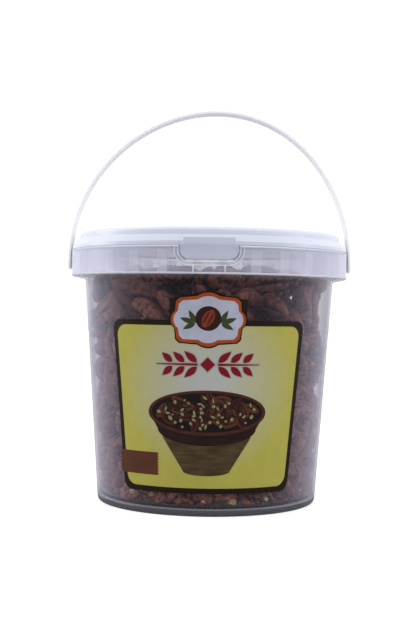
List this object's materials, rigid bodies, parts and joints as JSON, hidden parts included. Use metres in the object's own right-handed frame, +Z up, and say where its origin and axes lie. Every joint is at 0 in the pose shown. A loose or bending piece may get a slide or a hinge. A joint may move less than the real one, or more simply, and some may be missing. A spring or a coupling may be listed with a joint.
{
  "type": "tub of shelled pecans",
  "caption": "Round see-through plastic tub filled with shelled pecan halves, with a press-on lid, a front pull tab, a wrap-round label and a swinging bail handle.",
  "frame": {"origin": "centre of the tub's foot ring, on the surface it stands on", "axes": "+Z up along the tub's axis, -Y towards the label and the pull tab (the front), X along the bail handle's hinge line"},
  "size_m": [0.1364, 0.133, 0.1879],
  "materials": {
    "tub_plastic": "clear natural polypropylene, slightly milky, satin gloss",
    "lid_plastic": "milky natural polypropylene, satin gloss",
    "handle_plastic": "milky natural polypropylene, satin gloss",
    "label_print": "printed film label, satin, yellow field with dark brown border",
    "pecan_skin": "wrinkled dry nut skin, dull with an oily sheen, cream where broken"
  },
  "bodies": {
    "tub_body": {"tub": "tub_plastic", "lid": "lid_plastic", "label": "label_print", "pecan_heap_middle": "pecan_skin", "pecan_half_side_01": "pecan_skin", "pecan_half_side_02": "pecan_skin", "pecan_half_side_03": "pecan_skin", "pecan_half_side_04": "pecan_skin", "pecan_half_side_05": "pecan_skin", "pecan_half_side_06": "pecan_skin", "pecan_half_side_07": "pecan_skin", "pecan_half_side_08": "pecan_skin", "pecan_half_side_09": "pecan_skin", "pecan_half_side_10": "pecan_skin", "pecan_half_side_11": "pecan_skin", "pecan_half_side_12": "pecan_skin", "pecan_half_side_13": "pecan_skin", "pecan_half_side_14": "pecan_skin", "pecan_half_side_15": "pecan_skin", "pecan_half_side_16": "pecan_skin", "pecan_half_side_17": "pecan_skin", "pecan_half_side_18": "pecan_skin", "pecan_half_side_19": "pecan_skin", "pecan_half_side_20": "pecan_skin", "pecan_half_side_21": "pecan_skin", "pecan_half_side_22": "pecan_skin", "pecan_half_side_23": "pecan_skin", "pecan_half_side_24": "pecan_skin", "pecan_half_side_25": "pecan_skin", "pecan_half_side_26": "pecan_skin", "pecan_half_side_27": "pecan_skin", "pecan_half_side_28": "pecan_skin", "pecan_half_side_29": "pecan_skin", "pecan_half_side_30": "pecan_skin", "pecan_half_side_31": "pecan_skin", "pecan_half_side_32": "pecan_skin", "pecan_half_side_33": "pecan_skin", "pecan_half_side_34": "pecan_skin", "pecan_half_side_35": "pecan_skin", "pecan_half_side_36": "pecan_skin", "pecan_half_side_37": "pecan_skin", "pecan_half_side_38": "pecan_skin", "pecan_half_side_39": "pecan_skin", "pecan_half_side_40": "pecan_skin", "pecan_half_top_01": "pecan_skin", "pecan_half_top_02": "pecan_skin", "pecan_half_top_03": "pecan_skin", "pecan_half_top_04": "pecan_skin", "pecan_half_top_05": "pecan_skin", "pecan_half_top_06": "pecan_skin", "pecan_half_top_07": "pecan_skin", "pecan_half_top_08": "pecan_skin", "pecan_half_top_09": "pecan_skin", "pecan_half_top_10": "pecan_skin", "pecan_half_top_11": "pecan_skin", "pecan_half_top_12": "pecan_skin", "pecan_half_top_13": "pecan_skin", "pecan_half_top_14": "pecan_skin"},
    "handle_body": {"bail_handle": "handle_plastic"}
  },
  "joints": [
    {"name": "handle_swing", "type": "hinge", "parent": "tub_body", "child": "handle_body", "pos_m": [0, 0, 0.1152], "axis": [1, 0, 0], "range_deg": [-112, 112]}
  ]
}
